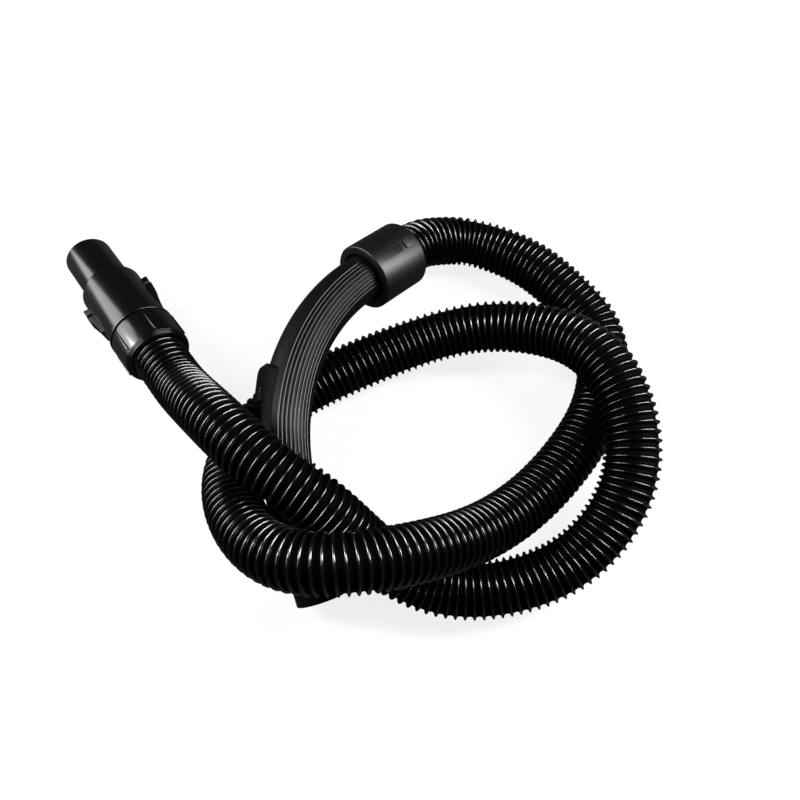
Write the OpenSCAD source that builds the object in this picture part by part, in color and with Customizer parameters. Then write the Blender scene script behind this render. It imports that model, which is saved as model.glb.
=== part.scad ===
// Vacuum-cleaner suction hose: machine connector, ribbed hose and bent wand handle.
// Millimetres, +Z up. The hose lies in its loops on the floor, z = 0.

/* [Hose] */
// Outside diameter over the ribs of the hose
hose_d = 40; // [30:0.5:40.4]
// Height of each rib over the valleys beside it
rib_h = 2.5; // [1:0.1:3.5]
// Wall of the hose at a valley
hose_wall = 1.5; // [1:0.1:2.5]
// Number of ribs along the whole hose
rib_count = 190; // [20:1:200]
// Length of hose end held inside each fitting
hose_insert = 20; // [20:0.5:34]

/* [Machine connector] */
// Outside diameter of the spigot that pushes into the machine
spigot_d = 38; // [28:0.5:44]
// Wall of the spigot's air tube
spigot_wall = 2; // [1.5:0.1:3]
// Length of spigot in front of the body
spigot_len = 44; // [20:1:60]
// Length of the body's sloped shoulder
shoulder_len = 5; // [4:0.5:12]
// Length of the body, from its shoulder to its rear ring
body_len = 60; // [56:0.5:72]
// Space between the air tube and the body's shell, for the latches
latch_space = 3; // [2.6:0.1:5]
// Wall of the body's shell
body_wall = 2; // [1.6:0.1:3]
// Length of the ring that closes the body's rear
body_ring_len = 3.5; // [2:0.5:6]
// How far that ring stands out of the body
body_ring_rise = 1.5; // [0.5:0.1:2]
// Wall of the turning cuff
cuff_wall = 2; // [1.6:0.1:4]
// Length of the turning cuff
cuff_len = 25; // [24:0.5:50]
// Length of the stepped ring at the hose end of the cuff
cuff_ring_len = 2.5; // [2:0.5:8]
// Number of grip bars on the cuff
bar_count = 6; // [2:1:12]
// Width of a grip bar
bar_w = 2.4; // [1:0.1:5]
// Height of a grip bar over the cuff
bar_h = 1.2; // [0.3:0.1:1.5]
// Length of a grip bar
bar_len = 22.5; // [10:0.5:23]

/* [Latches] */
// Width of a latch arm
latch_w = 11.4; // [8:0.2:14]
// Distance from a latch's pivot to the rear end of the body
latch_back = 8; // [5:0.5:8]
// Length of a latch arm, from its front end to its pivot
latch_len = 43.5; // [30:0.5:45]
// Radius of the two trunnions that a latch turns on
trunnion_r = 0.7; // [0.5:0.05:0.9]
// Length of a trunnion beside the arm
trunnion_len = 1.3; // [1:0.1:1.3]
// Height of the catch over the body
catch_h = 5.4; // [2:0.1:6]
// Length of the catch
catch_len = 8; // [4:0.5:9]
// Width of the catch
catch_w = 5; // [3:0.5:8]
// Height of the finger pad over the body
pad_h = 5.6; // [2:0.1:6]
// Length of the finger pad
pad_len = 21; // [10:0.5:21]

/* [Swivels] */
// Wall of the threaded sleeve on the hose's machine end
ferrule_wall = 2.2; // [1.4:0.1:4]
// Height of the spigot's swivel flange over the air tube
flange_h = 4; // [2:0.1:5]
// Thickness of the spigot's swivel flange
flange_t = 2; // [1.5:0.1:4]
// Thickness of the low-friction washer
washer_t = 0.8; // [0.5:0.1:2]
// Thickness of the felt seals
seal_t = 1.2; // [0.8:0.1:3]

/* [Wand handle] */
// Outside diameter of the handle's tube
tube_d = 36; // [30:0.5:38]
// Wall of the handle's tube
tube_wall = 1.8; // [1.5:0.1:3]
// Straight length of tube before the bend, counted from the collar's hose end
tube_lead = 47; // [46:1:70]
// Radius of the bend, at the middle of the tube
bend_r = 162; // [120:1:240]
// Angle of the bend
bend_deg = 71; // [30:1:80]
// Straight length of tube after the bend
tube_tail = 64; // [30:1:70]
// How far the tail stands out of the bent tube, outside and in the bore
tail_rise = 0.3; // [0.2:0.05:0.6]
// Length of the collar over the hose end and the tube
collar_len = 46; // [44:1:70]
// Wall of the collar over the turning sleeve
collar_wall = 4; // [3:0.1:6]
// Depth of the recess in the collar's mouth, round the tube
mouth_depth = 3; // [2:0.5:8]
// Lip of the collar round that recess
mouth_lip = 6.2; // [1.5:0.1:6.4]
// Radius of the collar's rounded shoulder
collar_round = 3.2; // [1:0.1:3.5]
// Wall of the turning sleeve on the hose's wand end
sleeve_wall = 2.1; // [1.8:0.1:4]
// Thickness of the sleeve's flange outside the collar
sleeve_flange_t = 1.2; // [0.8:0.1:3]
// Number of grip ridges on each flank of the tube
ridge_count = 9; // [3:1:15]
// Angle between one grip ridge and the next
ridge_step = 9; // [5:0.5:12]
// Height of a grip ridge
ridge_h = 0.9; // [0.3:0.1:0.9]
// Width of a grip ridge
ridge_w = 1.7; // [1:0.1:1.9]
// Length of the snap keys' windows along the collar
key_len = 4; // [3:0.5:6]
// Width of the snap keys' windows round the collar
key_w = 7; // [4:0.5:10]
// Distance from the collar's hose end to the middle of the snap keys
key_x = 15.5; // [9:0.5:16]

/* [Air slider] */
// Length of the slider's housing
housing_len = 56; // [48:1:60]
// Width of the slider's housing
housing_w = 22; // [19:0.5:26]
// Height of the housing over the crown of the tube
housing_h = 2.6; // [2.5:0.1:4]
// Angle round the bend to the middle of the housing
housing_deg = 46; // [20:1:58]
// Length of the sliding plate
slider_len = 16; // [14:0.5:18]
// Width of the sliding plate
slider_w = 13.6; // [10:0.2:14]
// Thickness of the sliding plate
slider_t = 1; // [0.8:0.1:1.2]
// Travel of the slider
slider_travel = 12; // [4:0.5:12]
// Length of the slider's thumb piece
thumb_len = 10; // [6:0.5:12]
// Width of the slider's thumb piece
thumb_w = 8.4; // [5:0.2:9]
// Height of the thumb piece over the housing
thumb_h = 1.6; // [1:0.1:3]
// Length of the air vent along the tube
vent_len = 10; // [4:0.5:12]
// Width of the air vent round the tube
vent_w = 6; // [3:0.5:8]

/* [Fits] */
// Radial space round the hose in its sleeves
hose_gap = 0.3; // [0.2:0.05:0.6]
// Radial clearance of a turning fit
running_gap = 0.05; // [0.03:0.01:0.1]
// Clearance of pieces seated in each other
seat_gap = 0.05; // [0.02:0.01:0.1]
// Clearance beside sliding and pressing pieces
side_gap = 0.3; // [0.2:0.05:0.5]

/* [Hidden] */
$fn = 96;
eps = 0.01;
long = 400;

black = "#17171a";
satin = "#232326";
dark = "#0d0d0f";
felt = "#4a4a4c";

// Radii of the hose and of what holds it
hose_r = hose_d / 2;
valley_r = hose_r - rib_h;
bore_r = valley_r - hose_wall;
grip_r = hose_r + hose_gap;

// Machine connector: radii, then places along its axis from the spigot's tip
spigot_r = spigot_d / 2;
core_r = spigot_r - 0.5;
core_bore_r = core_r + seat_gap;
shell_in_r = spigot_r + latch_space;
body_r = shell_in_r + body_wall;
body_ring_r = body_r + body_ring_rise;
flange_r = spigot_r + flange_h;
cuff_in_r = max(grip_r + ferrule_wall + seat_gap, flange_r + side_gap);
cuff_r = cuff_in_r + cuff_wall;
z_body = spigot_len;
z_shoulder = z_body + shoulder_len;
z_body_ring = z_body + body_len;
z_cuff = z_body_ring + body_ring_len + 1.5;
cuff_ledge_t = 2.2;
z_washer = z_cuff + cuff_ledge_t + seat_gap;
z_flange = z_washer + washer_t + running_gap;
z_seal = z_flange + flange_t + running_gap;
z_ferrule = z_seal + seal_t;
z_end_ring = max(z_cuff + cuff_len, z_ferrule + hose_insert + 1.15 - cuff_ring_len);
machine_len = z_end_ring + cuff_ring_len;
z_hose = machine_len - hose_insert;

// Latches: the arm lies in the shell's window and turns on trunnions at its rear
arm_in_r = spigot_r + latch_space - 0.1;
arm_out_r = body_r - 0.1;
pivot_r = (shell_in_r + body_r) / 2 - 1;
barrel_r = trunnion_r + 0.6;
z_pivot = z_body_ring - latch_back;
z_arm = z_pivot - latch_len;
z_catch = z_arm + 1.6;
z_pad = z_arm + 15.5;
pad_rear_h = 0.45 * pad_h;
pad_fall = (pad_h - pad_rear_h) / (pad_len - 1.5);

// Place of the connector: the face that the hose leaves, and its heading; the spigot rests on
// the floor and the hose holds the other end up
machine_face = [-53.5, 30.7];
machine_yaw = -53;
machine_slope = 10;
machine_dir = [cos(machine_yaw) * cos(machine_slope), sin(machine_yaw) * cos(machine_slope),
    sin(machine_slope)];
machine_rest = max(spigot_r * cos(machine_slope),
    body_r * cos(machine_slope) - z_shoulder * sin(machine_slope));
machine_exit = [machine_face.x, machine_face.y, machine_rest + machine_len * machine_dir.z];
machine_tip = machine_exit - machine_len * machine_dir;

// Wand end: radii, then places along the collar's axis from its hose end
tube_r = tube_d / 2;
tube_in_r = tube_r - tube_wall;
tail_r = tube_r + tail_rise;
tail_bore_r = tube_in_r + tail_rise;
tail_lap = 2;
sleeve_r = grip_r + sleeve_wall;
sleeve_bore_r = sleeve_r + running_gap;
collar_r = max(sleeve_bore_r, tube_r + ridge_h + 2) + collar_wall;
x_sleeve_end = hose_insert + side_gap + 2.3;
x_sleeve_seal = x_sleeve_end + running_gap;
x_ledge = x_sleeve_seal + seal_t;
ledge_t = 1.5;
x_tube = x_ledge + ledge_t;
groove_depth = 1;
mouth_r = collar_r - mouth_lip;
snap_deg = 8;

// Place of the collar: its hose end's centre, and its turn, slope and roll
wand_at = [129, 129.5, 37];
wand_yaw = 226;
wand_slope = 15;
wand_roll = -28;
wand_dir = [cos(wand_yaw) * cos(wand_slope), sin(wand_yaw) * cos(wand_slope), sin(wand_slope)];

// Air slider: heights from the tube's axis, outwards on the outside of the bend
slide_low = tube_r + side_gap;
slide_top = slide_low + slider_t;
lip_low = slide_top + 0.15;
housing_top = tube_r + housing_h;

// Route of the hose's middle line: points of a smooth curve that passes near each of them
route_mid = [
    [0, -34, 81], [36, -71, 91], [80, -96, 75], [109, -118, 35],
    [153, -140, 18], [204, -138, 22], [252, -120, 29], [286, -78, 48], [291, -29, 61],
    [274, 25, 64], [237, 55, 46], [185, 66, 31], [133, 54, 20], [82, 30, 21],
    [33, 3, 20], [3, -44, 27], [12, -91, 53], [45, -132, 80], [93, -138, 92],
    [142, -124, 71], [182, -105, 42], [221, -76, 24], [255, -39, 21], [284, 5, 20],
    [290, 68, 20], [263, 96, 26], [236, 131, 24], [187, 158, 17.4], [155.8, 149.3, 26.6]];
// Straight runs on the axes of the fittings: one diameter at the connector, half at the collar
lead_steps = [-20, 0, 20, 40, 60];
route = concat(
    [for (d = lead_steps) machine_exit + (d - hose_insert) * machine_dir],
    route_mid,
    [for (d = [0, 20, 40, 60]) wand_at - (40 - d - hose_insert) * wand_dir]);
spans = len(route) - 3;
span_steps = 12;
function curve_point(i, u) = (pow(1 - u, 3) * route[i]
    + (3 * pow(u, 3) - 6 * pow(u, 2) + 4) * route[i + 1]
    + (-3 * pow(u, 3) + 3 * pow(u, 2) + 3 * u + 1) * route[i + 2]
    + pow(u, 3) * route[i + 3]) / 6;
line = concat([for (i = [0 : spans - 1], k = [0 : span_steps - 1]) curve_point(i, k / span_steps)],
    [curve_point(spans - 1, 1)]);
run = [for (i = 0, s = 0; i < len(line);
    i = i + 1, s = s + (i < len(line) ? norm(line[i] - line[i - 1]) : 0)) s];
hose_len = run[len(run) - 1];
table_x = [for (i = [0 : len(line) - 1]) [run[i], line[i].x]];
table_y = [for (i = [0 : len(line) - 1]) [run[i], line[i].y]];
table_z = [for (i = [0 : len(line) - 1]) [run[i], line[i].z]];
function place(s) = [lookup(s, table_x), lookup(s, table_y), lookup(s, table_z)];
function unit(v) = v / norm(v);
function heading(s) = s < hose_r ? machine_dir : s > hose_len - hose_r ? wand_dir
    : unit(place(s + 2) - place(s - 2));
sides = 8;
function hoop(s, r) = let (c = place(s), t = heading(s), a = unit(cross(t, [0, 0, 1])),
    b = cross(a, t))
    [for (k = [0 : sides - 1]) c + r * (cos(k * 360 / sides) * a + sin(k * 360 / sides) * b)];
bore_hoops = 110;
far = 3 * hose_d;
hose_self_gap = min([for (i = [0 : 2 : len(line) - 1], j = [i + 1 : len(line) - 1])
    if (run[j] - run[i] > far) norm(line[j] - line[i])]) - hose_d;
echo(str("length of the hose along its middle: ", hose_len, " mm"));
echo(str("least gap of the hose to itself: ", hose_self_gap, " mm"));

// A ring round Z, from z0 to z1
module ring(r_out, r_in, z0, z1) {
    translate([0, 0, z0]) difference() {
        cylinder(r = r_out, h = z1 - z0);
        translate([0, 0, -1]) cylinder(r = r_in, h = z1 - z0 + 2);
    }
}

// A turned piece from its outline of [radius, z] points
module turned(outline) {
    rotate_extrude() polygon(outline);
}

// Quarter-round corner points about a centre, from angle a0 to a1
function corner(c, r, a0, a1) = [for (k = [0 : 6]) let (a = a0 + (a1 - a0) * k / 6)
    [c.x + r * cos(a), c.y + r * sin(a)]];

// Outline of a rectangle with round corners, centred
function soft_rect(w, h, r) = concat(
    corner([w / 2 - r, h / 2 - r], r, 0, 90), corner([-w / 2 + r, h / 2 - r], r, 90, 180),
    corner([-w / 2 + r, -h / 2 + r], r, 180, 270), corner([w / 2 - r, -h / 2 + r], r, 270, 360));

// Connector's frame: Z runs from the spigot's tip to the hose, X points to the floor
module at_machine() {
    translate(machine_tip) rotate([0, 90 - machine_slope, machine_yaw]) children();
}

// Collar's frame: X runs from the hose to the tube, Y to the inside of the bend
module at_wand() {
    translate(wand_at) rotate([wand_roll, -wand_slope, wand_yaw]) children();
}

// The same frame with Z along the tube, for turned pieces
module at_collar() {
    at_wand() rotate([0, 90, 0]) children();
}

// A cross-section's frame at an angle round the bend
module at_bend(deg) {
    at_wand() translate([tube_lead, bend_r, 0]) rotate([0, 0, deg]) translate([0, -bend_r, 0])
        children();
}

// Air tube of the machine connector, with the flange that the cuff turns on
module spigot_tube() {
    color(satin) at_machine() turned(concat(
        corner([spigot_r - spigot_wall / 2, spigot_wall / 2], spigot_wall / 2, 180, 360),
        [[spigot_r, z_body], [core_r, z_body], [core_r, z_flange],
        [flange_r, z_flange], [flange_r, z_flange + flange_t],
        [spigot_r - spigot_wall, z_flange + flange_t]]));
}

// Window in the body's shell for one latch, with holes for its trunnions
module latch_window() {
    half = latch_w / 2 + side_gap;
    translate([-half, 0, z_arm - side_gap]) cube([2 * half, 2 * body_r, z_body_ring]);
    translate([-half - trunnion_len, pivot_r, z_pivot]) rotate([0, 90, 0])
        cylinder(r = trunnion_r + running_gap, h = 2 * (half + trunnion_len));
}

module body_shell() {
    color(satin) at_machine() difference() {
        turned([[core_bore_r, z_body], [spigot_r + 1.6, z_body],
            [body_r, z_shoulder], [body_r, z_body_ring], [shell_in_r, z_body_ring],
            [shell_in_r, z_shoulder - 1.4], [core_bore_r, z_shoulder - 1.4]]);
        latch_window();
        mirror([0, 1, 0]) latch_window();
    }
}

module body_rear_ring() {
    z1 = z_body_ring + body_ring_len;
    color(satin) at_machine() turned([[core_bore_r, z_body_ring],
        [body_r, z_body_ring], [body_ring_r, z_body_ring + body_ring_rise / 2],
        [body_ring_r, z1 - 0.5], [body_ring_r - 0.5, z1], [core_bore_r, z1]]);
}

// One latch, on the +Y side: arm, catch, sloping finger pad, barrel and trunnions
module latch() {
    half = latch_w / 2;
    intersection() {
        ring(arm_out_r, arm_in_r, z_arm, z_pivot);
        translate([-half, 0, 0]) cube([latch_w, 2 * body_r, long]);
    }
    translate([-half, pivot_r, z_pivot]) rotate([0, 90, 0]) cylinder(r = barrel_r, h = latch_w);
    translate([-half + side_gap, pivot_r, z_pivot - 3])
        cube([latch_w - 2 * side_gap, barrel_r, 3]);
    translate([-half - side_gap - trunnion_len + 0.1, pivot_r, z_pivot]) rotate([0, 90, 0])
        cylinder(r = trunnion_r, h = latch_w + 2 * (side_gap + trunnion_len - 0.1));
    translate([0, arm_in_r + 1, z_catch + catch_len / 2]) rotate([-90, 0, 0])
        linear_extrude(arm_out_r - arm_in_r - 1 + catch_h)
            polygon(soft_rect(catch_w, catch_len, catch_w / 2 - 0.3));
    difference() {
        translate([-half, 0, 0]) rotate([90, 0, 90]) linear_extrude(latch_w)
            polygon([[arm_in_r + 1, z_pad], [arm_out_r + pad_h, z_pad],
                [arm_out_r + pad_h, z_pad + 1.5], [arm_out_r + pad_rear_h, z_pad + pad_len],
                [arm_in_r + 1, z_pad + pad_len]]);
        for (k = [0 : 3]) let (z = 3 + 3.2 * k)
            translate([-latch_w, arm_out_r + pad_h - pad_fall * (z - 1.5), z_pad + z])
            rotate([0, 90, 0]) cylinder(r = 0.7, h = 2 * latch_w);
    }
}

module latch_left() {
    color(dark) at_machine() mirror([0, 1, 0]) latch();
}

module latch_right() {
    color(dark) at_machine() latch();
}

module swivel_washer() {
    color("white") at_machine()
        ring(flange_r, spigot_r + side_gap, z_washer, z_washer + washer_t);
}

// Turning cuff: a front ledge behind the spigot's flange, and grip bars outside
module swivel_cuff() {
    taper = 0.5;
    color(satin) at_machine() {
        turned([[core_r + running_gap, z_cuff], [cuff_r - 0.6, z_cuff], [cuff_r, z_cuff + 0.6],
            [cuff_r, z_cuff + 3], [cuff_r - taper, z_end_ring],
            [cuff_in_r, z_end_ring], [cuff_in_r, z_cuff + cuff_ledge_t],
            [core_r + running_gap, z_cuff + cuff_ledge_t]]);
        for (k = [0 : bar_count - 1]) rotate([0, 0, 160 + k * 360 / bar_count]) intersection() {
            ring(cuff_r + bar_h - taper, cuff_in_r + 0.5, z_cuff + 1, z_end_ring);
            translate([0, 0, z_cuff + 1 + bar_len / 2]) rotate([0, 90, 0])
                linear_extrude(2 * cuff_r) polygon(soft_rect(bar_len, bar_w, bar_w / 2 - eps));
        }
    }
}

module swivel_seal() {
    color(felt) at_machine() ring(flange_r, spigot_r - spigot_wall + 1, z_seal, z_seal + seal_t);
}

// Threaded sleeve on the hose's machine end, seated in the cuff
module hose_ferrule() {
    color(dark) at_machine() turned([[bore_r, z_ferrule], [cuff_in_r - seat_gap, z_ferrule],
        [cuff_in_r - seat_gap, z_end_ring], [grip_r, z_end_ring], [grip_r, z_hose],
        [bore_r, z_hose]]);
}

module cuff_end_ring() {
    mid = z_end_ring + cuff_ring_len / 2;
    color(dark) at_machine() turned([[grip_r, z_end_ring], [cuff_r - 1, z_end_ring],
        [cuff_r - 1, mid], [cuff_r - 2, mid], [cuff_r - 2, machine_len - 0.4],
        [cuff_r - 2.4, machine_len], [grip_r, machine_len]]);
}

// Flexible hose: ribs outside and a plain bore, swept along the route as one tube
module hose() {
    pitch = hose_len / rib_count;
    outer = [for (i = [0 : 2 * rib_count]) hoop(i * pitch / 2, i % 2 == 0 ? valley_r : hose_r)];
    inner = [for (i = [0 : bore_hoops - 1]) hoop(i * hose_len / (bore_hoops - 1), bore_r)];
    n_out = len(outer);
    first = n_out * sides;
    points = [for (h = outer) each h, for (h = inner) each h];
    function cell(base, i, k) = [base + i * sides + k, base + i * sides + (k + 1) % sides,
        base + (i + 1) * sides + (k + 1) % sides, base + (i + 1) * sides + k];
    skin = [for (i = [0 : n_out - 2], k = [0 : sides - 1]) let (q = cell(0, i, k))
        each [[q[0], q[2], q[1]], [q[0], q[3], q[2]]]];
    bore = [for (i = [0 : bore_hoops - 2], k = [0 : sides - 1]) let (q = cell(first, i, k))
        each [[q[0], q[1], q[2]], [q[0], q[2], q[3]]]];
    last = (n_out - 1) * sides;
    last_in = first + (bore_hoops - 1) * sides;
    start = [for (k = [0 : sides - 1]) let (m = (k + 1) % sides)
        each [[k, m, first + m], [k, first + m, first + k]]];
    end = [for (k = [0 : sides - 1]) let (m = (k + 1) % sides)
        each [[last + k, last_in + m, last + m], [last + k, last_in + k, last_in + m]]];
    color(black) polyhedron(points, concat(skin, bore, start, end), convexity = 20);
}

// Threaded sleeve on the hose's wand end, which turns in the collar
module wand_sleeve() {
    groove0 = key_x - key_len / 2 - side_gap;
    groove1 = key_x + key_len / 2 + side_gap;
    color(dark) at_collar() turned([[grip_r, -side_gap - sleeve_flange_t],
        [sleeve_r + 1.6, -side_gap - sleeve_flange_t], [sleeve_r + 1.6, -side_gap],
        [sleeve_r, -side_gap], [sleeve_r, groove0], [sleeve_r - groove_depth, groove0],
        [sleeve_r - groove_depth, groove1], [sleeve_r, groove1], [sleeve_r, x_sleeve_end],
        [bore_r, x_sleeve_end], [bore_r, hose_insert + side_gap],
        [grip_r, hose_insert + side_gap]]);
}

module sleeve_seal() {
    color(felt) at_collar()
        ring(sleeve_bore_r - side_gap, bore_r + 1, x_sleeve_seal, x_sleeve_seal + seal_t);
}

// Outline that a snap key and its window share, cut radially through the collar
module key_block(gap, r0, r1) {
    w = key_w + 2 * gap;
    l = key_len + 2 * gap;
    translate([key_x, 0, r0]) linear_extrude(r1 - r0) polygon(soft_rect(l, w, 0.6));
}

module collar() {
    color(satin) difference() {
        at_collar() turned(concat([[sleeve_bore_r, 0]],
            corner([collar_r - collar_round, collar_round], collar_round, 270, 360),
            corner([collar_r - 1.2, collar_len - 1.2], 1.2, 0, 90),
            [[mouth_r, collar_len], [mouth_r, collar_len - mouth_depth],
            [tube_r + seat_gap, collar_len - mouth_depth], [tube_r + seat_gap, x_tube],
            [bore_r, x_tube], [bore_r, x_ledge], [sleeve_bore_r, x_ledge]]));
        at_wand() for (turn = [snap_deg, snap_deg + 180]) rotate([turn, 0, 0])
            key_block(seat_gap, grip_r, collar_r + 1);
    }
}

// Snap key: drops through the collar's window into the sleeve's groove
module snap_key(turn) {
    color(dark) at_wand() rotate([turn, 0, 0])
        key_block(0, sleeve_r - groove_depth + side_gap, collar_r - 0.9);
}

module snap_key_upper() {
    snap_key(snap_deg);
}

module snap_key_lower() {
    snap_key(snap_deg + 180);
}

// A section carried along the bend
module bend_run() {
    at_bend(0) translate([0, bend_r, 0]) rotate([0, 0, -90])
        rotate_extrude(angle = bend_deg, $fn = 480) translate([bend_r, 0]) mirror([1, 0]) children();
}

// Section of the grip ridges on both flanks: half-round bars rooted in the tube's wall
module ridge_section() {
    half = (ridge_count - 1) / 2;
    for (side = [0, 180], k = [-half : half]) rotate(90 + side + k * ridge_step)
        translate([tube_r + ridge_h - ridge_w / 2, 0]) circle(r = ridge_w / 2);
}

// Bent tube: a plain lead in the collar, the ridged bend and a slightly wider tail
module handle_tube() {
    color(black) difference() {
        union() {
            at_wand() translate([x_tube + seat_gap, 0, 0]) rotate([90, 0, 90])
                linear_extrude(tube_lead - x_tube - seat_gap) difference() {
                    circle(r = tube_r);
                    circle(r = tube_in_r);
                }
            difference() {
                bend_run() difference() {
                    union() {
                        circle(r = tube_r);
                        ridge_section();
                    }
                    circle(r = tube_in_r);
                }
                at_bend(bend_deg) rotate([0, 90, 0])
                    ring(tube_r + ridge_h + 1, tube_r - 0.1, -tail_lap - 0.3, 1);
            }
            at_bend(bend_deg) rotate([0, 90, 0]) ring(tail_r, tube_in_r, -tail_lap, tube_tail);
        }
        at_bend(bend_deg) translate([-tail_lap - 1, 0, 0]) rotate([0, 90, 0])
            cylinder(r = tail_bore_r, h = tube_tail + tail_lap + 2);
        at_bend(housing_deg) translate([-(slider_len + slider_travel) / 2 + 3,
            -tube_r - 2, -vent_w / 2]) cube([vent_len, tube_wall + 4, vent_w]);
    }
}

// Housing of the air slider, saddled on the outside of the bend
module slider_housing() {
    stroke = slider_len + slider_travel + 2 * side_gap;
    window = thumb_len + slider_travel + 2 * side_gap;
    color(black) difference() {
        at_bend(housing_deg) difference() {
            translate([0, -tube_r + 5, 0]) rotate([90, 0, 0]) linear_extrude(housing_top - tube_r + 5)
                polygon(soft_rect(housing_len, housing_w, 5));
            translate([-stroke / 2, -lip_low, -slider_w / 2 - side_gap])
                cube([stroke, lip_low, slider_w + 2 * side_gap]);
            translate([-window / 2, -housing_top - 1, -thumb_w / 2 - side_gap])
                cube([window, housing_h + 2, thumb_w + 2 * side_gap]);
        }
        bend_run() circle(r = tube_r + seat_gap);
    }
}

// Slider: a plate under the housing's lips and a ridged thumb piece through its window
module air_slider() {
    x0 = -(slider_len + slider_travel) / 2;
    t0 = -(thumb_len + slider_travel) / 2;
    rise = housing_top + thumb_h - slide_low;
    color(dark) at_bend(housing_deg) difference() {
        union() {
            translate([x0, -slide_top, -slider_w / 2]) cube([slider_len, slider_t, slider_w]);
            translate([t0, -slide_low - rise, -thumb_w / 2]) cube([thumb_len, rise, thumb_w]);
        }
        for (k = [1 : 3]) translate([t0 + k * thumb_len / 4, -slide_low - rise, -thumb_w])
            cylinder(r = 0.6, h = 2 * thumb_w);
    }
}

// Thin pad under the slider that closes the vent
module slider_pad() {
    x0 = -(slider_len + slider_travel) / 2;
    color(felt) at_bend(housing_deg) translate([x0 + 1, -slide_low, -vent_w / 2 - 0.6])
        cube([slider_len - 2, side_gap - seat_gap, vent_w + 1.2]);
}

spigot_tube();
body_shell();
body_rear_ring();
latch_left();
latch_right();
swivel_washer();
swivel_cuff();
swivel_seal();
hose_ferrule();
cuff_end_ring();
hose();
wand_sleeve();
sleeve_seal();
collar();
snap_key_upper();
snap_key_lower();
handle_tube();
slider_housing();
air_slider();
slider_pad();
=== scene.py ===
"""Looks of a vacuum cleaner hose: its finishes, moulded pieces, ribbed hose, floor and light.

Lengths are millimetres in the data below and metres in Blender, in the frame of the CAD model.
"""

import logging
import math
from dataclasses import dataclass, field
from enum import Enum

import bmesh
import bpy
import numpy as np
from mathutils import Matrix, Vector


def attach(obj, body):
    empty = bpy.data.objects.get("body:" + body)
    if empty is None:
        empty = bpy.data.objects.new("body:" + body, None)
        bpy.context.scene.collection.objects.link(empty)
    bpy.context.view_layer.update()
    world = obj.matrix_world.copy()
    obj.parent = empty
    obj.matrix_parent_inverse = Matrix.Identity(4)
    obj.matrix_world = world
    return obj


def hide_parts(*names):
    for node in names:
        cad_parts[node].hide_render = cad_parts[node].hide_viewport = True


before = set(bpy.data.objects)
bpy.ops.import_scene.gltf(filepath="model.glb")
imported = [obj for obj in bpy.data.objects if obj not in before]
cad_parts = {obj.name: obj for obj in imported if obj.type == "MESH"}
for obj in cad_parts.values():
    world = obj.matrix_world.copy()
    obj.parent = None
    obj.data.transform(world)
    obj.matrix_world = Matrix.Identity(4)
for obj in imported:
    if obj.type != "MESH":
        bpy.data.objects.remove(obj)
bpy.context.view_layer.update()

logging.basicConfig(level=logging.INFO, format="%(message)s")
LOG = logging.getLogger("hose")
MM = 0.001
# points closer than this are merged, in metres
MERGE = 2e-6
Outline = list[tuple[float, ...]]
Place = tuple[float, float, float]

# the connector: its heading and slope in degrees, the end of its cuff, its length and tip radius
MACHINE_YAW, MACHINE_SLOPE = -53, 10
MACHINE_FACE = (-53.5, 30.7)
MACHINE_LEN = 136.5
SPIGOT_R = 19.0
# the wand end: its collar's mouth and turns, the tube's straight lead and the bend's radius
WAND_AT = (129, 129.5, 37)
WAND_TURNS = ((226, "Z"), (-15, "Y"), (-28, "X"))
WAND_LEAD = 47.0
WAND_BEND_R = 162.0


# ---------------- places

def machine_frame() -> Matrix:
    """Connector's frame in millimetres: Z from the spigot's tip to the hose, X to the floor."""
    yaw, slope = math.radians(MACHINE_YAW), math.radians(MACHINE_SLOPE)
    level = Vector((math.cos(yaw), math.sin(yaw), 0))
    along = level * math.cos(slope) + Vector((0, 0, math.sin(slope)))
    down = level * math.sin(slope) - Vector((0, 0, math.cos(slope)))
    # the spigot's lip rests on the floor
    height = SPIGOT_R * math.cos(slope) + MACHINE_LEN * math.sin(slope)
    tip = Vector((*MACHINE_FACE, height)) - MACHINE_LEN * along
    turn = Matrix((down, along.cross(down), along)).transposed().to_4x4()
    return Matrix.Scale(MM, 4) @ Matrix.Translation(tip) @ turn


def wand_frame() -> Matrix:
    """Collar's frame in millimetres: X from the hose to the tube, Y to the inside of the bend."""
    turn = Matrix.Identity(4)
    for degrees, axis in WAND_TURNS:
        turn = turn @ Matrix.Rotation(math.radians(degrees), 4, axis)
    return Matrix.Scale(MM, 4) @ Matrix.Translation(WAND_AT) @ turn


def collar_frame() -> Matrix:
    """The collar's frame with Z along the tube, for turned pieces."""
    return wand_frame() @ Matrix.Rotation(math.radians(90), 4, "Y")


def bend_frame(degrees: float) -> Matrix:
    """Frame of the tube's section at an angle round the bend: X along the tube, -Y outwards.

    Args:
        degrees: The angle round the bend.

    Returns:
        The matrix from millimetres in that frame to metres in the scene.
    """
    return (wand_frame() @ Matrix.Translation((WAND_LEAD, WAND_BEND_R, 0))
            @ Matrix.Rotation(math.radians(degrees), 4, "Z")
            @ Matrix.Translation((0, -WAND_BEND_R, 0)))


# ---------------- finishes

def linear(hex_colour: str) -> tuple[float, float, float, float]:
    """Turns an sRGB hex colour to the linear one that a shader takes.

    Args:
        hex_colour: A colour such as "#17171a".

    Returns:
        Red, green, blue and alpha.
    """
    parts = [int(hex_colour[i:i + 2], 16) / 255 for i in (1, 3, 5)]
    return (*[c / 12.92 if c <= 0.04045 else ((c + 0.055) / 1.055) ** 2.4 for c in parts], 1.0)


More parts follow.
